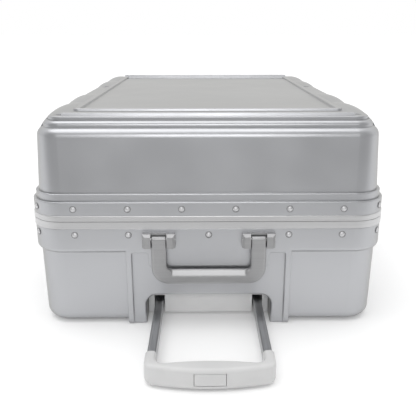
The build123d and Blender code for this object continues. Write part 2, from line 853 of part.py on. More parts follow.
def make_handle():
    """Carry handle: a flat U with a bevelled bar, hanging from its two knuckles."""
    half = leg_centre + leg_width / 2
    inner = leg_centre - leg_width / 2
    low = pivot_height - handle_drop
    bar_top = low + handle_bar_height
    points = [
        (-half, pivot_height),
        (-half, low),
        (half, low),
        (half, pivot_height),
        (inner, pivot_height),
        (inner, bar_top),
        (-inner, bar_top),
        (-inner, pivot_height),
    ]
    shape = make_face(Polyline(points, close=True))
    shape = fillet([v for v in shape.vertices() if abs(v.Y - low) < 0.01], handle_corner)
    shape = fillet([v for v in shape.vertices() if abs(v.Y - bar_top) < 0.01], handle_inner_corner)
    front = -pivot_out - handle_thickness / 2
    body = inward(shape, front, front + handle_thickness)
    flat_edges = body.edges().filter_by(lambda e: abs(abs(e.center().Y + pivot_out) - handle_thickness / 2) < 0.01)
    body = fillet([e for e in flat_edges if e.center().Z < pivot_height - 0.01], handle_round)
    wedge = across([(front, bar_top - handle_bevel_height), (front + handle_bevel_depth, bar_top + handle_round),
                    (front, bar_top + handle_round)], -inner + handle_inner_corner, inner - handle_inner_corner)
    knuckles = both_sides(rod_along_x(inner, half, -pivot_out, pivot_height, knuckle_radius))
    holes = both_sides(rod_along_x(inner, half, -pivot_out, pivot_height, pin_radius + pin_clearance))
    return body - wedge + knuckles - holes


def make_handle_pins():
    """Pins of one carry handle."""
    return both_sides(rod_along_x(leg_centre - bracket_half, leg_centre + bracket_half, -pivot_out, pivot_height,
                                  pin_radius))


def latch_low():
    """Lower edge of a latch housing on the base band."""
    return base_band_low + base_band_round


def lever_span():
    """Ends of the lever along the latch."""
    return lever_start - lever_width, lever_start


def lever_axis():
    """Height of the lever's pin."""
    return latch_low() + lever_pivot_rise


def dial_places():
    """Places of the dials along the latch."""
    first = lever_start + lever_gap + dial_pitch
    return [first + i * dial_pitch for i in range(dial_count)]


def make_latch_housing(with_dials):
    """Housing of a latch: a recess for the lever and a lock beside it."""
    low = latch_low()
    block = bar(-latch_half, latch_half, -latch_proud, 0, low, low + latch_height)
    block = fillet(block.faces().sort_by(Axis.Y)[0].edges(), latch_round)
    start, end = lever_span()
    recess = bar(start - lever_gap, end + lever_gap, -case_width, -latch_back, low, low + case_width)
    hole = rod_along_x(-latch_half + latch_round, lever_start + dial_pitch / 2, -lever_pivot_out, lever_axis(),
                       latch_pin_radius + pin_fit)
    block = block - recess - hole
    middle = low + latch_height / 2
    places = dial_places()
    if with_dials:
        for x in places:
            half = dial_width / 2 + dial_gap
            block -= rod_along_x(x - half, x + half, -dial_out, middle, dial_radius + dial_gap)
        spindle = rod_along_x(places[0] - dial_pitch / 2, places[-1] + dial_pitch / 2, -dial_out, middle,
                              spindle_radius + pin_fit)
        return block - spindle
    return block - rod_along_y(places[1], -latch_proud, -latch_back, middle, cylinder_radius + pin_fit)


def make_dial(x):
    """Number wheel with a notch for each figure."""
    middle = latch_low() + latch_height / 2
    flat = Circle(dial_radius)
    for i in range(dial_teeth):
        flat -= Rot(0, 0, i * 360 / dial_teeth) * Pos(dial_radius, 0) * Circle(dial_notch)
    flat -= Circle(spindle_radius + pin_clearance)
    wheel = extrude(flat, amount=dial_width / 2, both=True)
    return Pos(x, -dial_out, middle) * Rot(0, 90, 0) * wheel


def make_spindle():
    """Axle of the dials."""
    places = dial_places()
    return rod_along_x(places[0] - dial_pitch / 2, places[-1] + dial_pitch / 2, -dial_out,
                       latch_low() + latch_height / 2, spindle_radius)


def make_lock_cylinder():
    """Key cylinder of the second latch, with its key slot."""
    x = dial_places()[1]
    middle = latch_low() + latch_height / 2
    plug = rod_along_y(x, -latch_proud - cylinder_proud, -latch_back, middle, cylinder_radius)
    slot = bar(x - key_slot_width / 2, x + key_slot_width / 2, -case_width, -latch_proud + key_slot_width,
               middle - key_slot_length / 2, middle + key_slot_length / 2)
    return plug - slot


def lever_nose_low():
    """Underside of the lever's nose, just above the ledge of the strike."""
    return lid_band_low + strike_low_gap + strike_ledge_height + catch_gap


def make_lever():
    """Latch lever: a plate that swings out from its pin, with a nose over the strike."""
    start, end = lever_span()
    axis = lever_axis()
    back = -latch_proud + lever_thickness
    top = lid_band_top - lever_top_gap
    plate = bar(start, end, -latch_proud, back, axis, top)
    plate = fillet(plate.faces().sort_by(Axis.Y)[0].edges().filter_by(lambda e: e.center().Z > axis + 1), lever_round)
    knuckle = rod_along_x(start, end, -lever_pivot_out, axis, lever_knuckle)
    middle = (start + end) / 2
    low = lever_nose_low()
    nose = bar(middle - nose_half, middle + nose_half, back, -strike_plate - catch_gap, low, low + nose_height)
    hole = rod_along_x(start, end, -lever_pivot_out, axis, latch_pin_radius + pin_clearance)
    return plate + knuckle + nose - hole


def make_latch_pin():
    """Pin of a latch lever."""
    return rod_along_x(-latch_half + latch_round, lever_start + dial_pitch / 2, -lever_pivot_out, lever_axis(),
                       latch_pin_radius)


def make_strike():
    """Strike on the lid band: a plate with a ledge for the lever's nose."""
    start, end = lever_span()
    middle = (start + end) / 2
    low = lid_band_low + strike_low_gap
    plate = bar(middle - strike_half, middle + strike_half, -strike_plate, 0, low, lid_band_top - strike_low_gap)
    ledge = bar(middle - strike_half, middle + strike_half, -strike_plate - strike_ledge, 0,
                low, low + strike_ledge_height)
    return plate + ledge


def hinge_spans(first):
    """Ends of every second knuckle along a hinge."""
    start = -hinge_segment * hinge_segments / 2
    return [(start + i * hinge_segment + hinge_gap / 2, start + (i + 1) * hinge_segment - hinge_gap / 2)
            for i in range(first, hinge_segments, 2)]


def make_hinge_leaf(upward, first):
    """One hinge leaf: a plate on the band, stepped over the frame's lip, with its knuckles."""
    sign = 1 if upward else -1
    lip = lid_band_low if upward else base_lip_low
    over_lip = -frame_proud - lip_clearance
    edge = hinge_axis + sign * (hinge_knuckle + hinge_clearance)
    far = lip + sign * hinge_leaf_height
    near_lip = lip + sign * lip_clearance
    half = hinge_segment * hinge_segments / 2
    profile = [(over_lip, edge), (-hinge_leaf, edge), (-hinge_leaf, far), (0, far), (0, near_lip), (over_lip, near_lip)]
    leaf = across(profile, -half, half)
    for start, end in hinge_spans(first):
        web = [(over_lip, edge), (-hinge_leaf, edge), (-hinge_out, hinge_axis + sign * hinge_knuckle / 2),
               (-hinge_out, hinge_axis), (over_lip, hinge_axis + sign * seam_gap)]
        leaf += across(web, start, end)
        leaf += rod_along_x(start, end, -hinge_out, hinge_axis, hinge_knuckle)
        leaf -= rod_along_x(start, end, -hinge_out, hinge_axis, hinge_pin_radius + pin_clearance)
    return leaf


def make_hinge_pin():
    """Pin through one hinge."""
    half = hinge_segment * hinge_segments / 2
    return rod_along_x(-half, half, -hinge_out, hinge_axis, hinge_pin_radius)


def make_feet(height, form):
    """Two feet on the hinge side, their backs fitted to the wall."""
    slope = math.tan(math.radians(foot_draft))
    depth = foot_proud + rim_corner / 2
    grown = 2 * depth * slope
    flat = RectangleRounded(foot_length + grown, foot_height + grown, foot_corner + grown / 2)
    block = round_top(extrude(flat, amount=depth, taper=foot_draft), foot_round)
    turned = Pos(0, depth - foot_proud, height) * Rot(90, 0, 0) * block
    return [on_hinge_side(turned, s * foot_offset) - form for s in (-1, 1)]


def make_caster_housings(height, form):
    """Two corner blocks on the wheel end that carry the casters, fitted to the shell."""
    flat = RectangleRounded(caster_block, caster_block, caster_block_corner)
    block = round_top(extrude(flat, amount=caster_wrap), caster_block_round)
    turned = Pos(caster_x, caster_face - caster_wrap, height) * Rot(-90, 0, 0) * block
    bore = rod_along_y(caster_x, caster_face - stem_length, caster_face, height, stem_radius + pin_clearance)
    return [piece - form for piece in both_sides(turned - bore)]


def make_fork(x, height):
    """Caster fork: stem, crown and a hood over the upper half of the wheel."""
    axle_z = height - trail
    crown_low = caster_face + caster_gap
    stem = rod_along_y(x, caster_face - stem_length + caster_gap, crown_low, height, stem_radius)
    crown = rod_along_y(x, crown_low, crown_low + crown_thickness, height, crown_radius)
    inner = wheel_width / 2 + hood_side_gap
    outer = inner + hood_wall
    hood_radius = wheel_radius + hood_gap
    shell = rod_along_x(x - outer, x + outer, axle_y, axle_z, hood_radius + hood_wall)
    shell -= rod_along_x(x - inner, x + inner, axle_y, axle_z, hood_radius)
    reach = 2 * wheel_radius
    shell &= bar(x - reach, x + reach, crown_low, axle_y + hood_open, axle_z - reach, axle_z + reach)
    cheeks = rod_along_x(x - outer, x + outer, axle_y, axle_z, hub_boss)
    cheeks -= rod_along_x(x - inner, x + inner, axle_y, axle_z, hub_boss)
    hole = rod_along_x(x - outer, x + outer, axle_y, axle_z, axle_radius + pin_fit)
    wheel_room = rod_along_x(x - inner, x + inner, axle_y, axle_z, hood_radius)
    return stem + (crown + shell + cheeks - wheel_room - hole)


def make_axle(x, height):
    """Axle with a head on each side of the fork."""
    outer = wheel_width / 2 + hood_side_gap + hood_wall
    axle_z = height - trail
    shaft = rod_along_x(x - outer, x + outer, axle_y, axle_z, axle_radius)
    head = rod_along_x(outer, outer + axle_head_height, axle_y, axle_z, axle_head)
    return shaft + [Pos(x, 0, 0) * piece for piece in both_sides(head)]


def make_hub(x, height):
    """Wheel hub with a dished web on both sides."""
    half = wheel_width / 2
    rim = wheel_radius - tyre_thickness
    points = [
        (axle_radius + pin_clearance, -half),
        (hub_boss, -half),
        (hub_boss, -half + hub_recess),
        (rim - hub_rim, -half + hub_recess),
        (rim - hub_rim, -half),
        (rim, -half),
        (rim, half),
        (rim - hub_rim, half),
        (rim - hub_rim, half - hub_recess),
        (hub_boss, half - hub_recess),
        (hub_boss, half),
        (axle_radius + pin_clearance, half),
    ]
    return turned_wheel(points, x, height)


def turned_wheel(points, x, height):
    """Solid of revolution about a caster's axle, from radius and width."""
    face = Plane.XZ * make_face(Polyline(points, close=True))
    return Pos(x, axle_y, height - trail) * Rot(0, 90, 0) * revolve(face, axis=Axis.Z)


def make_tyre(x, height):
    """Soft tyre with rounded shoulders and a groove round the tread."""
    half = wheel_width / 2
    rim = wheel_radius - tyre_thickness
    groove = tyre_groove_width / 2
    points = [
        (rim, -half),
        (wheel_radius - wheel_round, -half),
        (wheel_radius, -half + wheel_round),
        (wheel_radius, -groove),
        (wheel_radius - tyre_groove_depth, -groove / 2),
        (wheel_radius - tyre_groove_depth, groove / 2),
        (wheel_radius, groove),
        (wheel_radius, half - wheel_round),
        (wheel_radius - wheel_round, half),
        (rim, half),
    ]
    return turned_wheel(points, x, height)


def casters():
    """Name, place and height of each caster."""
    return [
        ("base_left", -caster_x, base_caster_height),
        ("base_right", caster_x, base_caster_height),
        ("lid_left", -caster_x, lid_caster_height),
        ("lid_right", caster_x, lid_caster_height),
    ]


def make_nodes():
    """All pieces by node name, in case coordinates."""
    base_body = base_form()
    lid_body = lid_form(0.0)
    offsets = (-latch_offset, latch_offset)
    hinges = (-hinge_offset, hinge_offset)
    brackets = make_brackets()
    pins = make_handle_pins()
    nodes = {
        "base_shell": make_base_shell(base_body),
        "base_frame": make_base_frame(),
        "frame_seal": make_frame_seal(),
        "base_rivets": make_base_rivets(),
        "base_lining": make_base_lining(),
        "lid_shell": make_lid_shell(),
        "lid_frame": make_lid_frame(),
        "lid_rivets": make_lid_rivets(),
        "lid_lining": make_lid_lining(),
        "trolley_housing": make_trolley_housing(),
        "trolley_cover": make_trolley_cover(),
        "trolley_outer_tubes": make_outer_tubes(),
        "trolley_foot": make_trolley_foot(),
        "trolley_inner_tubes": make_inner_tubes(),
        "tube_shoes": make_tube_shoes(),
        "trolley_grip": make_trolley_grip(),
        "trolley_button": make_trolley_button(),
        "release_yoke": make_release_yoke(),
        "top_handle_brackets": brackets,
        "top_handle": make_handle(),
        "top_handle_pins": pins,
        "side_handle_brackets": [on_latch_side(b) for b in brackets],
        "side_handle": on_latch_side(make_handle()),
        "side_handle_pins": [on_latch_side(p) for p in pins],
        "latch_housing_front": on_latch_side(make_latch_housing(True), offsets[0]),
        "latch_housing_rear": on_latch_side(make_latch_housing(False), offsets[1]),
        "latch_lever_front": on_latch_side(make_lever(), offsets[0]),
        "latch_lever_rear": on_latch_side(make_lever(), offsets[1]),
        "latch_pins": [on_latch_side(make_latch_pin(), y) for y in offsets],
        "latch_strikes": [on_latch_side(make_strike(), y) for y in offsets],
        "lock_spindle": on_latch_side(make_spindle(), offsets[0]),
        "lock_cylinder": on_latch_side(make_lock_cylinder(), offsets[1]),
        "hinge_base_leaves": [on_hinge_side(make_hinge_leaf(False, 0), y) for y in hinges],
        "hinge_lid_leaves": [on_hinge_side(make_hinge_leaf(True, 1), y) for y in hinges],
        "hinge_pins": [on_hinge_side(make_hinge_pin(), y) for y in hinges],
        "base_feet": make_feet(base_foot_height, base_body),
        "lid_feet": make_feet(lid_foot_height, lid_body),
        "base_caster_housings": make_caster_housings(base_caster_height, base_body),
        "lid_caster_housings": make_caster_housings(lid_caster_height, lid_body),
    }
    for i, x in enumerate(dial_places()):
        nodes[f"lock_dial_{i + 1}"] = on_latch_side(make_dial(x), offsets[0])
    for name, x, height in casters():
        nodes[f"caster_fork_{name}"] = make_fork(x, height)
        nodes[f"caster_axle_{name}"] = make_axle(x, height)
        nodes[f"caster_hub_{name}"] = make_hub(x, height)
        nodes[f"caster_tyre_{name}"] = make_tyre(x, height)
    return nodes


os.makedirs("parts", exist_ok=True)
to_middle = Pos(0, -middle_y, 0)
for node, shape in make_nodes().items():
    pieces = shape if isinstance(shape, list) else [shape]
    solids = [solid for piece in pieces for solid in (to_middle * piece).solids()]
    export_step(solids[0] if len(solids) == 1 else Compound(children=solids), f"parts/{node}.step")
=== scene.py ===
# %% [markdown]
# # A hard shell suitcase, dressed for its portrait
# The solids of the case come in as a fixed frame: shells, frames, handles, trolley and casters.
# This lesson gives each of them its finish, adds the small fasteners and the cloth inside, and
# lights the case on a white floor. The frame is loaded first, because every later step reads
# its places from it.

# %% Load the frame
import bpy
import bmesh
import json
import math
from mathutils import Matrix, Vector, noise


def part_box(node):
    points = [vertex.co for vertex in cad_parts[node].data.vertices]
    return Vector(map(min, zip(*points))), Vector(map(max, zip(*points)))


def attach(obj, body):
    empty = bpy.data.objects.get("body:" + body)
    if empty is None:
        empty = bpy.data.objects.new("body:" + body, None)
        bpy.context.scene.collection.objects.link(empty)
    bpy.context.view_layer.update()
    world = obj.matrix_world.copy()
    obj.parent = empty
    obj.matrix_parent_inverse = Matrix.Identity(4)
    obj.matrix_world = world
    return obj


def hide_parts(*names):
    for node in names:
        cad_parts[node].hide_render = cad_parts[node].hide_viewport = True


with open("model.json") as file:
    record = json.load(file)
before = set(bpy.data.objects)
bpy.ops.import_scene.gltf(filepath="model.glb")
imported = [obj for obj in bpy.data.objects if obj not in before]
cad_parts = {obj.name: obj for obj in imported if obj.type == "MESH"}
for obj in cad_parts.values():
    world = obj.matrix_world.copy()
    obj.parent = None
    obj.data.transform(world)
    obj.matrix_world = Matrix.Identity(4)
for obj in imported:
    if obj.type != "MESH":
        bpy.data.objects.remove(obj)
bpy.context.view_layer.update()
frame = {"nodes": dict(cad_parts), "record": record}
nodes = frame["nodes"]

# %% [markdown]
# ## The camera
# The photograph looks at the handle end of the lying case from a little above. The lines that run
# along the case meet at one point of the picture, which gives the tilt of the camera, and the
# width of the rim gives its distance. Both are plain numbers in the frame's own metres.

# %% Camera
CAMERA_PLACE = (-0.0083, -0.9873, 0.3866)
CAMERA_TILT = math.radians(90.0 - 17.63)
CAMERA_TURN = math.radians(-0.614)
CAMERA_LENS = 48.46
SENSOR_WIDTH = 36.0

camera_data = bpy.data.cameras.new("portrait_camera")
camera_data.lens = CAMERA_LENS
camera_data.sensor_width = SENSOR_WIDTH
camera = bpy.data.objects.new("portrait_camera", camera_data)
camera.location = CAMERA_PLACE
camera.rotation_euler = (CAMERA_TILT, 0.0, CAMERA_TURN)
bpy.context.collection.objects.link(camera)
bpy.context.scene.camera = camera
print("camera height above the floor:", CAMERA_PLACE[2])

# %% [markdown]
# ## The room
# A product picture like this is taken in a studio, with a white backdrop behind the case and beside
# it and a dim room behind the camera. The upright end of the case mirrors that dim room. The world
# gives both: its strength is read from the direction of a ray, from dim in front to white behind.

# %% Room
BACKDROP_LIGHT = 1.0
ROOM_LIGHT = 0.46
ROOM_DARK_END = -0.5
ROOM_LIGHT_START = 0.1


def studio():
    """World that is white behind and beside the case and dim behind the camera."""
    world = bpy.data.worlds.new("studio")
    world.use_nodes = True
    tree = world.node_tree
    back = tree.nodes["Background"]
    back.inputs["Color"].default_value = (1.0, 1.0, 1.0, 1.0)
    place = tree.nodes.new("ShaderNodeTexCoord")
    split = tree.nodes.new("ShaderNodeSeparateXYZ")
    tree.links.new(place.outputs["Generated"], split.inputs["Vector"])
    level = tree.nodes.new("ShaderNodeMapRange")
    level.interpolation_type = "SMOOTHSTEP"
    level.inputs["From Min"].default_value = ROOM_DARK_END
    level.inputs["From Max"].default_value = ROOM_LIGHT_START
    level.inputs["To Min"].default_value = ROOM_LIGHT
    level.inputs["To Max"].default_value = BACKDROP_LIGHT
    tree.links.new(split.outputs["Y"], level.inputs["Value"])
    tree.links.new(level.outputs["Result"], back.inputs["Strength"])
    return world


scene = bpy.context.scene
scene.view_settings.view_transform = "Standard"
scene.world = studio()
print("room from", ROOM_LIGHT, "in front to", BACKDROP_LIGHT, "behind")

# %% [markdown]
# ## Lamps
# A soft box hangs over the case, and the rounded edges catch it as bright lines. A very wide sun does
# the same with one number for its spread. A second, weaker box stands behind the camera and lights
# the channel of the trolley.

# %% Lamps
SOFT_BOX_PLACE = (0.0, 0.0, 2.0)
SOFT_BOX_LEAN = (math.radians(6.0), math.radians(-9.0), 0.0)
SOFT_BOX_SPREAD = math.radians(56.0)
SOFT_BOX_STRENGTH = 1.05
FRONT_LAMP_PLACE = Vector((0.0, -2.6, 1.15))
FRONT_LAMP_AIM = Vector((0.0, -0.4, 0.1))
FRONT_LAMP_SIZE = 1.0
FRONT_LAMP_POWER = 12.0


def soft_box():
    """Wide lamp over the case, leaning a little."""
    data = bpy.data.lights.new("soft_box", "SUN")
    data.angle = SOFT_BOX_SPREAD
    data.energy = SOFT_BOX_STRENGTH
    lamp = bpy.data.objects.new("soft_box", data)
    lamp.location = SOFT_BOX_PLACE
    lamp.rotation_euler = SOFT_BOX_LEAN
    bpy.context.collection.objects.link(lamp)


def front_lamp():
    """Second soft box, behind the camera, that lights the end of the case and its channel."""
    data = bpy.data.lights.new("front_lamp", "AREA")
    data.shape = "SQUARE"
    data.size = FRONT_LAMP_SIZE
    data.energy = FRONT_LAMP_POWER
    lamp = bpy.data.objects.new("front_lamp", data)
    lamp.location = FRONT_LAMP_PLACE
    aim = FRONT_LAMP_AIM - FRONT_LAMP_PLACE
    lamp.rotation_euler = aim.to_track_quat("-Z", "Y").to_euler()
    bpy.context.collection.objects.link(lamp)


soft_box()
front_lamp()
print("soft box spreads over", round(math.degrees(SOFT_BOX_SPREAD)), "degrees")

# %% [markdown]
# ## Floor
# The floor is white paper, and shade is painted into its colour: it turns grey towards and under the
# camera.
# The lower part of the case mirrors it, so the end of the case grows lighter towards the floor. The
# paper is lifted a little where the camera, a glossy or a clear surface sees it, and it still keeps the
# shadow of the case.

# %% Floor
FLOOR_REACH = 40.0
FLOOR_ROUGHNESS = 0.9
FLOOR_LIFT = 0.14
# The paper's colour runs from white to a painted shade grey between these two places.
FLOOR_SHADE_START = -0.45
FLOOR_SHADE_END = -1.05
FLOOR_WHITE = 0.9
FLOOR_PAINTED_SHADE = 0.34


def larger(tree, first, second):
    """Larger one of two values."""
    level = tree.nodes.new("ShaderNodeMath")
    level.operation = "MAXIMUM"
    tree.links.new(first, level.inputs[0])
    tree.links.new(second, level.inputs[1])
    return level.outputs[0]


def floor_shade(tree):
    """Painted shade of the paper: its grey level falls towards the camera."""
    place = tree.nodes.new("ShaderNodeTexCoord")
    split = tree.nodes.new("ShaderNodeSeparateXYZ")
    tree.links.new(place.outputs["Object"], split.inputs["Vector"])
    shade = tree.nodes.new("ShaderNodeMapRange")
    shade.interpolation_type = "SMOOTHSTEP"
    shade.inputs["From Min"].default_value = FLOOR_SHADE_END
    shade.inputs["From Max"].default_value = FLOOR_SHADE_START
    shade.inputs["To Min"].default_value = FLOOR_PAINTED_SHADE
    shade.inputs["To Max"].default_value = FLOOR_WHITE
    tree.links.new(split.outputs["Y"], shade.inputs["Value"])
    return shade.outputs["Result"]


def white_paper():
    """Dull paper with painted shade and a slight lift where it is seen."""
    paper = bpy.data.materials.new("white_paper")
    paper.use_nodes = True
    tree = paper.node_tree
    shader = tree.nodes["Principled BSDF"]
    shader.inputs["Roughness"].default_value = FLOOR_ROUGHNESS
    shader.inputs["Specular IOR Level"].default_value = 0.0
    shade = floor_shade(tree)
    tree.links.new(shade, shader.inputs["Base Color"])
    tree.links.new(shade, shader.inputs["Emission Color"])
    path = tree.nodes.new("ShaderNodeLightPath").outputs
    seen = larger(tree, path["Is Camera Ray"], path["Is Glossy Ray"])
    seen = larger(tree, seen, path["Is Transmission Ray"])
    glow = tree.nodes.new("ShaderNodeMath")
    glow.operation = "MULTIPLY"
    glow.inputs[1].default_value = FLOOR_LIFT
    tree.links.new(seen, glow.inputs[0])
    tree.links.new(glow.outputs[0], shader.inputs["Emission Strength"])
    return paper


def white_floor():
    """Paper floor that keeps the shadow of the case."""
    shape = bmesh.new()
    bmesh.ops.create_grid(shape, x_segments=1, y_segments=1, size=FLOOR_REACH)
    mesh = bpy.data.meshes.new("floor")
    shape.to_mesh(mesh)
    shape.free()
    mesh.materials.append(white_paper())
    floor = bpy.data.objects.new("floor", mesh)
    bpy.context.collection.objects.link(floor)


white_floor()
print("floor reaches", FLOOR_REACH, "m to each side")

# %% [markdown]
# ## Finishes
# Every finish is a Principled shader with a little life in it: grain, a drift in tone and a
# drift in gloss. Five small helpers keep the node trees short. One opens a finish, one lays a
# noise along chosen directions of the object, and three turn a noise into tone, gloss or bump.

# %% Helpers for finishes
EVEN = (1, 1, 1)
NOISE_LOW = 0.25
NOISE_HIGH = 0.75
EDGE_SAMPLES = 8


def open_finish(name, metallic=0.0):
    """New material with its tree and shader."""
    finish = bpy.data.materials.new(name)
    finish.use_nodes = True
    tree = finish.node_tree
    shader = tree.nodes["Principled BSDF"]
    shader.inputs["Metallic"].default_value = metallic
    return finish, tree, shader


def grain(tree, stretch, scale, detail=2.0):
    """Noise in object coordinates, stretched by three factors."""
    place = tree.nodes.new("ShaderNodeTexCoord")
    lay = tree.nodes.new("ShaderNodeMapping")
    lay.inputs["Scale"].default_value = stretch
    tree.links.new(place.outputs["Object"], lay.inputs["Vector"])
    cloud = tree.nodes.new("ShaderNodeTexNoise")
    cloud.inputs["Scale"].default_value = scale
    cloud.inputs["Detail"].default_value = detail
    tree.links.new(lay.outputs["Vector"], cloud.inputs["Vector"])
    return cloud.outputs["Fac"]


def tone(tree, shader, source, dark, light, low=0.3, high=0.7):
    """Base colour that drifts between two tones."""
    ramp = tree.nodes.new("ShaderNodeValToRGB")
    ramp.color_ramp.elements[0].position = low
    ramp.color_ramp.elements[0].color = (*dark, 1.0)
    ramp.color_ramp.elements[1].position = high
    ramp.color_ramp.elements[1].color = (*light, 1.0)
    tree.links.new(source, ramp.inputs["Fac"])
    tree.links.new(ramp.outputs["Color"], shader.inputs["Base Color"])


def gloss(tree, shader, source, low, high):
    """Roughness that drifts between two values."""
    level = tree.nodes.new("ShaderNodeMapRange")
    level.inputs["From Min"].default_value = NOISE_LOW
    level.inputs["From Max"].default_value = NOISE_HIGH
    level.inputs["To Min"].default_value = low
    level.inputs["To Max"].default_value = high
    tree.links.new(source, level.inputs["Value"])
    tree.links.new(level.outputs["Result"], shader.inputs["Roughness"])


def relief(tree, shader, source, strength, distance, edge=0.0):
    """Bump from a noise, on edges that look rounded by a radius."""
    bump = tree.nodes.new("ShaderNodeBump")
    bump.inputs["Strength"].default_value = strength
    bump.inputs["Distance"].default_value = distance
    tree.links.new(source, bump.inputs["Height"])
    if edge:
        soft = tree.nodes.new("ShaderNodeBevel")
        soft.samples = EDGE_SAMPLES
        soft.inputs["Radius"].default_value = edge
        tree.links.new(soft.outputs["Normal"], bump.inputs["Normal"])
    tree.links.new(bump.outputs["Normal"], shader.inputs["Normal"])


# %% [markdown]
# ### Shells
# The shells are moulded from polycarbonate in a satin silver. The pigment is metallic, so the
# rounded edges flash, and the mould leaves a very fine grain. The pockets beside the carry handle
# have small rounded edges, which the finish of the base shows.

# %% Shell finish
POCKET_EDGE = 0.0022
SHELL_METALLIC = 0.85
SHELL_DARK = (0.475, 0.481, 0.498)
SHELL_LIGHT = (0.505, 0.511, 0.528)
SHELL_GLINT = (0.72, 0.71, 0.67, 1.0)


def silver_shell(name, edge=0.0):
    """Satin silver moulding with a fine grain."""
    finish, tree, shader = open_finish(name, SHELL_METALLIC)
    tone(tree, shader, grain(tree, EVEN, 9.0), SHELL_DARK, SHELL_LIGHT)
    shader.inputs["Specular Tint"].default_value = SHELL_GLINT
    gloss(tree, shader, grain(tree, EVEN, 18.0, 1.0), 0.31, 0.38)
    relief(tree, shader, grain(tree, EVEN, 700.0), 0.02, 0.0002, edge)
    return finish


# %% [markdown]
# ### Metals
# Frames, tubes, handles and latches are aluminium, and pins and lock are steel. Drawing and brushing
# leaves fine lines, so the noise is stretched: round the rim it is fine in height, and along the
# tubes it is fine across them.

# %% Metal finishes


def brushed(name, dark, light, stretch, low, high, metallic=0.9):
    """Metal with fine lines along one direction."""
    finish, tree, shader = open_finish(name, metallic)
    lines = grain(tree, stretch, 1.0, 3.0)
    tone(tree, shader, lines, dark, light)
    gloss(tree, shader, lines, low, high)
    relief(tree, shader, lines, 0.12, 0.0001)
    return finish


# %% [markdown]
# ### Mouldings, rubber and cloth
# Grip and housing are light grey mouldings with a spark-eroded grain. Feet and casters are darker,
# and the tyres are rubber. The lining is a twill, drawn by two crossed waves.

# %% Moulding and rubber finish


def moulded(name, dark, light, low, high, grain_size=700.0, depth=0.12):
    """Plastic with the grain of its mould."""
    finish, tree, shader = open_finish(name)
    tone(tree, shader, grain(tree, EVEN, 22.0, 3.0), dark, light)
    gloss(tree, shader, grain(tree, EVEN, 40.0, 1.0), low, high)
    relief(tree, shader, grain(tree, EVEN, grain_size), depth, 0.0003)
    return finish


# %% Cloth finish
THREAD_SCALE = 130.0
THREAD_TURN = math.radians(45.0)
THREAD_WOBBLE = 0.6
CLOTH_SHEEN = 0.3


def threads(tree, turn):
    """One set of parallel threads across the cloth."""
    place = tree.nodes.new("ShaderNodeTexCoord")
    lay = tree.nodes.new("ShaderNodeMapping")
    lay.inputs["Rotation"].default_value = (0.0, 0.0, turn)
    tree.links.new(place.outputs["Object"], lay.inputs["Vector"])
    band = tree.nodes.new("ShaderNodeTexWave")
    band.inputs["Scale"].default_value = THREAD_SCALE
    band.inputs["Distortion"].default_value = THREAD_WOBBLE
    tree.links.new(lay.outputs["Vector"], band.inputs["Vector"])
    return band.outputs["Fac"]


def woven(name, dark, light):
    """Cloth with two crossed sets of threads and a soft sheen."""
    finish, tree, shader = open_finish(name)
    tone(tree, shader, grain(tree, EVEN, 30.0), dark, light)
    gloss(tree, shader, grain(tree, EVEN, 40.0, 1.0), 0.7, 0.85)
    weave = larger(tree, threads(tree, THREAD_TURN), threads(tree, -THREAD_TURN))
    relief(tree, shader, weave, 0.25, 0.0004)
    shader.inputs["Sheen Weight"].default_value = CLOTH_SHEEN
    return finish


# %% [markdown]
# ### All finishes
# Each piece of the frame names the slot of its finish. Metals take two tones, the stretch of their
# lines and two values of roughness. Mouldings take two tones and two values of roughness. Only
# the base gets the finish that shows the rounded edges of its pockets.

# %% All finishes
FINISHES = {
    "shell": silver_shell("silver_shell"),
    "frame": brushed("drawn_frame", (0.54, 0.54, 0.545), (0.6, 0.6, 0.605), (5, 5, 900), 0.28, 0.38),
    "rivet": brushed("turned_rivet", (0.62, 0.62, 0.63), (0.68, 0.68, 0.69), (300, 300, 300), 0.4, 0.5),
    "handle": brushed("handle_metal", (0.35, 0.35, 0.355), (0.39, 0.39, 0.395),
                      (6, 400, 400), 0.34, 0.42),
    "pin": brushed("plain_steel", (0.5, 0.5, 0.5), (0.6, 0.6, 0.6), (400, 400, 40), 0.2, 0.3),
    "housing": moulded("housing_moulding", (0.82, 0.82, 0.82), (0.87, 0.87, 0.87), 0.4, 0.5),
    "grip": moulded("grip_moulding", (0.6, 0.6, 0.6), (0.65, 0.65, 0.65), 0.36, 0.46),
    "tube": brushed("drawn_tube", (0.34, 0.345, 0.355), (0.42, 0.425, 0.435), (700, 4, 700), 0.28, 0.4),
    "inner_plastic": moulded("black_moulding", (0.02, 0.02, 0.02), (0.04, 0.04, 0.04), 0.45, 0.55),
    "latch": brushed("latch_metal", (0.5, 0.5, 0.51), (0.58, 0.58, 0.59), (400, 6, 400), 0.26, 0.36),
    "lock": brushed("lock_steel", (0.42, 0.42, 0.43), (0.52, 0.52, 0.53), (400, 400, 60), 0.22, 0.32),
    "dial": moulded("dial_moulding", (0.02, 0.02, 0.022), (0.035, 0.035, 0.037), 0.3, 0.4),
    "hinge": brushed("hinge_metal", (0.5, 0.5, 0.51), (0.58, 0.58, 0.59), (400, 6, 400), 0.26, 0.36),
    "foot": moulded("foot_moulding", (0.12, 0.122, 0.125), (0.15, 0.152, 0.155), 0.45, 0.55),
    "caster": moulded("caster_moulding", (0.1, 0.1, 0.103), (0.13, 0.13, 0.133), 0.38, 0.5),
    "tyre": moulded("tyre_rubber", (0.03, 0.03, 0.03), (0.045, 0.045, 0.045), 0.55, 0.7, 400.0, 0.2),
    "seal": moulded("seal_rubber", (0.02, 0.02, 0.02), (0.03, 0.03, 0.03), 0.6, 0.7),
    "lining": woven("lining_twill", (0.12, 0.125, 0.135), (0.15, 0.155, 0.165)),
}


def put_on(node, finish):
    """Give all slots of a node one finish."""
    for slot in nodes[node].material_slots:
        slot.material = finish


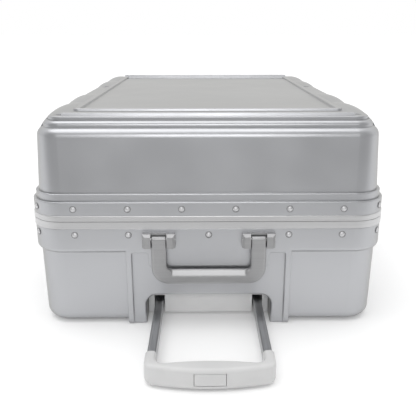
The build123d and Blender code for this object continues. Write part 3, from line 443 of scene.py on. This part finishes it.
for part in frame["record"]["subparts"]:
    put_on(part["node"], FINISHES[part["material_slot"]])
put_on("base_shell", silver_shell("pocketed_shell", POCKET_EDGE))
print("finishes:", len(FINISHES) + 1, "on", len(nodes), "nodes")

# %% [markdown]
# ## Lining
# Inside, both halves are lined with cloth. It is cut as a tray with notched corners, drawn over the
# channel of the trolley and glued to the wall, so it follows the shell closely and still sags a
# little between the glued spots. Each cloth starts from the solid that keeps its place in the
# frame. Cuts along even planes give it points to move, and a slow noise pulls these in.

# %% Lining cloths
CLOTH_GRID = 0.022
CLOTH_SAG = 0.0014
CLOTH_WAVE = 14.0
CUT_NEARNESS = 1e-6
SEAM_NEARNESS = 1e-5


def place_mesh(name, shape, finish):
    """Object at the origin from a bmesh."""
    mesh = bpy.data.meshes.new(name)
    shape.to_mesh(mesh)
    shape.free()
    mesh.materials.append(finish)
    piece = bpy.data.objects.new(name, mesh)
    bpy.context.collection.objects.link(piece)
    return piece


def cut_evenly(shape, low, high):
    """Cut a bmesh along even planes across all three directions."""
    for axis in range(3):
        normal = Vector((0.0, 0.0, 0.0))
        normal[axis] = 1.0
        count = int((high[axis] - low[axis]) / CLOTH_GRID)
        for i in range(1, count + 1):
            point = low + normal * (i * (high[axis] - low[axis]) / (count + 1))
            everything = shape.verts[:] + shape.edges[:] + shape.faces[:]
            bmesh.ops.bisect_plane(shape, geom=everything, dist=CUT_NEARNESS,
                                   plane_co=point, plane_no=normal)


def lining_cloth(name, node, body, mouth_up):
    """Cloth in the place of a lining solid, sagging towards the middle of the tray."""
    low, high = (Vector(corner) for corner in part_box(node))
    shape = bmesh.new()
    shape.from_mesh(nodes[node].data)
    bmesh.ops.remove_doubles(shape, verts=shape.verts, dist=SEAM_NEARNESS)
    cut_evenly(shape, low, high)
    middle = (low + high) / 2
    middle.z = high.z if mouth_up else low.z
    for corner in shape.verts:
        pull = 0.5 + 0.5 * noise.noise(corner.co * CLOTH_WAVE)
        corner.co += (middle - corner.co).normalized() * (CLOTH_SAG * pull)
    area = sum(face.calc_area() for face in shape.faces) / 2
    piece = place_mesh(name, shape, FINISHES["lining"])
    piece.data.shade_smooth()
    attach(piece, body)
    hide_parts(node)


lining_cloth("base_cloth", "base_lining", "base", True)
lining_cloth("lid_cloth", "lid_lining", "lid", False)

# %% [markdown]
# ## Carry handles
# The handles are cast, so their bevels run out softly into the corners. Each handle starts from its
# solid. A fine remesh spreads even points over it, and a few smoothing steps round the edges as
# the casting and polishing do.

# %% Carry handles
HANDLE_GRID = 0.0008
POLISH_FACTOR = 0.5
POLISH_STEPS = 26
POINT_NEARNESS = 1e-6


def cast_handle(name, node, body):
    """Handle with soft edges in the place of its solid."""
    shape = bmesh.new()
    shape.from_mesh(nodes[node].data)
    bmesh.ops.remove_doubles(shape, verts=shape.verts, dist=POINT_NEARNESS)
    piece = place_mesh(name, shape, FINISHES["handle"])
    points = piece.modifiers.new("even_points", "REMESH")
    points.mode = "VOXEL"
    points.voxel_size = HANDLE_GRID
    points.use_smooth_shade = True
    polish = piece.modifiers.new("polish", "SMOOTH")
    polish.factor = POLISH_FACTOR
    polish.iterations = POLISH_STEPS
    bpy.context.view_layer.update()
    finished = piece.evaluated_get(bpy.context.evaluated_depsgraph_get())
    cast = bpy.data.meshes.new_from_object(finished)
    piece.modifiers.clear()
    piece.data = cast
    piece.data.shade_smooth()
    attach(piece, body)
    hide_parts(node)
    print(name, "has", len(cast.polygons), "faces")


cast_handle("top_handle_casting", "top_handle", "top_handle")
cast_handle("side_handle_casting", "side_handle", "side_handle")

# %% [markdown]
# ## Small fasteners
# Screws hold the cover on the back and the caster blocks. A screw is a low dome, and the shade in its
# cross recess is painted as a dark cross on it. Both are made round the local Z and set at each place,
# with that axis pointing out of the face that the screw holds.

# %% Screws
SCREW_RADIUS = 0.0032
SCREW_HEIGHT = 0.001
RECESS_LENGTH = 0.0036
RECESS_WIDTH = 0.0008
RECESS_DEPTH = 0.0002
RECESS_LEVEL = 0.00095
QUARTER_TURN = math.pi / 2


def screw_head(shape, place, radius=SCREW_RADIUS):
    """Domed head, its axis along the local Z."""
    made = bmesh.ops.create_uvsphere(shape, u_segments=20, v_segments=10, radius=1.0)["verts"]
    flat = Matrix.Diagonal((radius, radius, SCREW_HEIGHT, 1.0))
    bmesh.ops.transform(shape, matrix=place @ flat, verts=made)


def screw_cross(shape, place):
    """Painted shade of the cross recess of a screw: two black bars at the top of its dome."""
    size = Matrix.Diagonal((RECESS_LENGTH, RECESS_WIDTH, RECESS_DEPTH, 1.0))
    up = Matrix.Translation((0.0, 0.0, RECESS_LEVEL))
    for turn in (0.0, QUARTER_TURN):
        made = bmesh.ops.create_cube(shape, size=1.0)["verts"]
        bar = place @ Matrix.Rotation(turn, 4, "Z") @ up @ size
        bmesh.ops.transform(shape, matrix=bar, verts=made)


def facing(point, direction):
    """Place at a point with the local Z along a direction."""
    turn = Vector((0.0, 0.0, 1.0)).rotation_difference(Vector(direction))
    return Matrix.Translation(point) @ turn.to_matrix().to_4x4()


def screw_set(name, points, direction, body, slot):
    """Screws at some points of one face."""
    heads = bmesh.new()
    crosses = bmesh.new()
    for point in points:
        screw_head(heads, facing(point, direction))
        screw_cross(crosses, facing(point, direction))
    # The black bars are painted shade in the cross recesses of the screws.
    for label, shape, finish in (("heads", heads, slot), ("recess_shade", crosses, "inner_plastic")):
        piece = place_mesh(name + "_" + label, shape, FINISHES[finish])
        piece.data.shade_smooth()
        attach(piece, body)


# %% [markdown]
# ### Places of the screws
# The cover has a row of screws along each long edge, and each caster block has four round its wheel.
# Both are read from the boxes of their nodes, so that the screws stay with the pieces they hold.

# %% Places of the screws
COVER_EDGE = 0.006
COVER_ROWS = (0.3, 0.62, 0.975)
BLOCK_EDGE = 0.012


def cover_points():
    """Screw places in rows along both edges of the cover on the back."""
    low, high = (Vector(corner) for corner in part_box("trolley_cover"))
    edge = high.x - COVER_EDGE
    rows = [low.y + (high.y - low.y) * share for share in COVER_ROWS]
    return [(x, y, low.z) for x in (-edge, edge) for y in rows]


def block_points(half, side):
    """Four screw places on one caster block."""
    low, high = (Vector(corner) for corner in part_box(half + "_caster_housings"))
    half_height = (high.z - low.z) / 2
    centre_x = side * (high.x - half_height)
    centre_z = (low.z + high.z) / 2
    reach = half_height - BLOCK_EDGE
    steps = ((-reach, 0), (reach, 0), (0, reach), (0, -reach))
    return [(centre_x + dx, high.y, centre_z + dz) for dx, dz in steps]


screw_set("cover_screw", cover_points(), (0, 0, -1), "base", "pin")
for half in ("base", "lid"):
    for side, label in ((-1, "left"), (1, "right")):
        name = half + "_caster_screw_" + label
        screw_set(name, block_points(half, side), (0, 1, 0), half, "pin")
print("screws on the cover and on four caster blocks")

# %% [markdown]
# ## Small rivets
# The hinge leaves are riveted through the band of the shell. The rivets are flat domes in one row
# on each leaf. Their places along the case come from the box of the leaves.

# %% Small rivets
LEAF_RIVET_RADIUS = 0.0024


def rivet_set(name, points, direction, body):
    """Flat domes at some points of one face."""
    shape = bmesh.new()
    for point in points:
        screw_head(shape, facing(point, direction), LEAF_RIVET_RADIUS)
    piece = place_mesh(name, shape, FINISHES["rivet"])
    piece.data.shade_smooth()
    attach(piece, body)


HINGE_HALF = 0.035
LEAF_FACE = -0.2381
LEAF_HEIGHTS = {"base": 0.1305, "lid": 0.1667}
LEAF_RIVET_STEPS = (-0.026, 0.0, 0.026)

for half, height in LEAF_HEIGHTS.items():
    low, high = (Vector(corner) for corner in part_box("hinge_%s_leaves" % half))
    centres = (low.y + HINGE_HALF, high.y - HINGE_HALF)
    points = [(LEAF_FACE, y + step, height) for y in centres for step in LEAF_RIVET_STEPS]
    rivet_set("hinge_%s_rivets" % half, points, (-1, 0, 0), half)
print("small rivets on four hinge leaves")

# %% [markdown]
# ## Painted shadow rings round the rim rivets
# The shadow at the rim of each rivet head is painted as a thin dark flat ring where the head meets the
# shell, and it makes the row of rivets readable. Each head is found as a loose part of its node. Its
# points spread least along the axis of the rivet, which gives the direction of the ring.

# %% Painted rivet shadow rings
SHADOW_RING_INNER = 0.0037
SHADOW_RING_OUTER = 0.0045
SHADOW_RING_HEIGHT = 0.0003
SHADOW_RING_STEPS = 24
AIM_TURNS = [math.radians(degree) for degree in range(0, 180, 2)]
AIMS = [Vector((math.cos(turn), math.sin(turn), 0.0)) for turn in AIM_TURNS]
# Dark grey paint that stands for the shadow at the rim of each rivet head.
RIVET_SHADOW_PAINT = moulded("painted_rivet_shadow", (0.2, 0.2, 0.205), (0.24, 0.24, 0.245), 0.5, 0.6)


def loose_parts(mesh):
    """Points of each part of a mesh that hangs together."""
    shape = bmesh.new()
    shape.from_mesh(mesh)
    bmesh.ops.remove_doubles(shape, verts=shape.verts, dist=POINT_NEARNESS)
    found = set()
    parts = []
    for first in shape.verts:
        if first in found:
            continue
        found.add(first)
        waiting = [first]
        part = []
        while waiting:
            corner = waiting.pop()
            part.append(corner.co.copy())
            beside = [edge.other_vert(corner) for edge in corner.link_edges]
            fresh = [other for other in beside if other not in found]
            found.update(fresh)
            waiting.extend(fresh)
        parts.append(part)
    shape.free()
    return parts


def seat_ring(shape, place):
    """Flat closed ring round the local Z."""
    section = ((SHADOW_RING_INNER, 0.0), (SHADOW_RING_OUTER, 0.0),
               (SHADOW_RING_OUTER, SHADOW_RING_HEIGHT), (SHADOW_RING_INNER, SHADOW_RING_HEIGHT))
    corners = [shape.verts.new(place @ Vector((r, 0.0, z))) for r, z in section]
    edges = [shape.edges.new((corners[i], corners[i - 1])) for i in range(len(corners))]
    axis = place.to_3x3() @ Vector((0.0, 0.0, 1.0))
    bmesh.ops.spin(shape, geom=corners + edges, cent=place.translation, axis=axis,
                   angle=2 * math.pi, steps=SHADOW_RING_STEPS, use_merge=True)


def rivet_seats(name, node, body):
    """Painted shadow rings round all rivets of one node."""
    shape = bmesh.new()
    for part in loose_parts(nodes[node].data):
        centre = sum(part, Vector()) / len(part)
        spreads = [sum(((point - centre) @ aim) ** 2 for point in part) for aim in AIMS]
        axis = AIMS[spreads.index(min(spreads))]
        if axis @ centre < 0:
            axis = -axis
        back = min((point - centre) @ axis for point in part)
        seat_ring(shape, facing(centre + axis * back, axis))
    bmesh.ops.recalc_face_normals(shape, faces=shape.faces)
    piece = place_mesh(name, shape, RIVET_SHADOW_PAINT)
    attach(piece, body)


rivet_seats("base_painted_rivet_shadows", "base_rivets", "base")
rivet_seats("lid_painted_rivet_shadows", "lid_rivets", "lid")
print("seats round the rivets of both frames")

# %% [markdown]
# ## Figures on the dials
# Each number wheel carries the figures 0 to 9 between its notches, printed in white. Text is
# turned into a mesh, laid on the rim of the wheel and joined to one piece for each wheel, so that
# it turns with the wheel.

# %% Dial figures
FIGURE_HEIGHT = 0.0026
FIGURE_LIFT = 0.00005
FIGURE_STEP = 36.0
FIGURE_START = 18.0
STAND_UP = Matrix.Rotation(QUARTER_TURN, 4, "Z") @ Matrix.Rotation(QUARTER_TURN, 4, "X")
PRINT = moulded("white_print", (0.8, 0.8, 0.8), (0.86, 0.86, 0.86), 0.4, 0.5)


def figure_mesh(figure):
    """Flat mesh of one figure, centred on the origin."""
    curve = bpy.data.curves.new("figure", "FONT")
    curve.body = str(figure)
    curve.size = FIGURE_HEIGHT
    curve.align_x = "CENTER"
    curve.align_y = "CENTER"
    holder = bpy.data.objects.new("figure", curve)
    bpy.context.collection.objects.link(holder)
    bpy.context.view_layer.update()
    mesh = bpy.data.meshes.new_from_object(holder)
    bpy.data.objects.remove(holder)
    return mesh


figures = [figure_mesh(i) for i in range(10)]
for index in (1, 2, 3):
    low, high = (Vector(corner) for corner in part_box("lock_dial_%d" % index))
    centre = (low + high) / 2
    radius = (high.z - low.z) / 2 + FIGURE_LIFT
    shape = bmesh.new()
    for i, mesh in enumerate(figures):
        start = len(shape.verts)
        shape.from_mesh(mesh)
        shape.verts.ensure_lookup_table()
        turn = Matrix.Rotation(math.radians(FIGURE_STEP * i + FIGURE_START), 4, "Y")
        out = Matrix.Translation((radius, 0.0, 0.0))
        place = Matrix.Translation(centre) @ turn @ out @ STAND_UP
        bmesh.ops.transform(shape, matrix=place, verts=shape.verts[start:])
    piece = place_mesh("dial_%d_figures" % index, shape, PRINT)
    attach(piece, "dial_%d" % index)
print("figures on three dials")
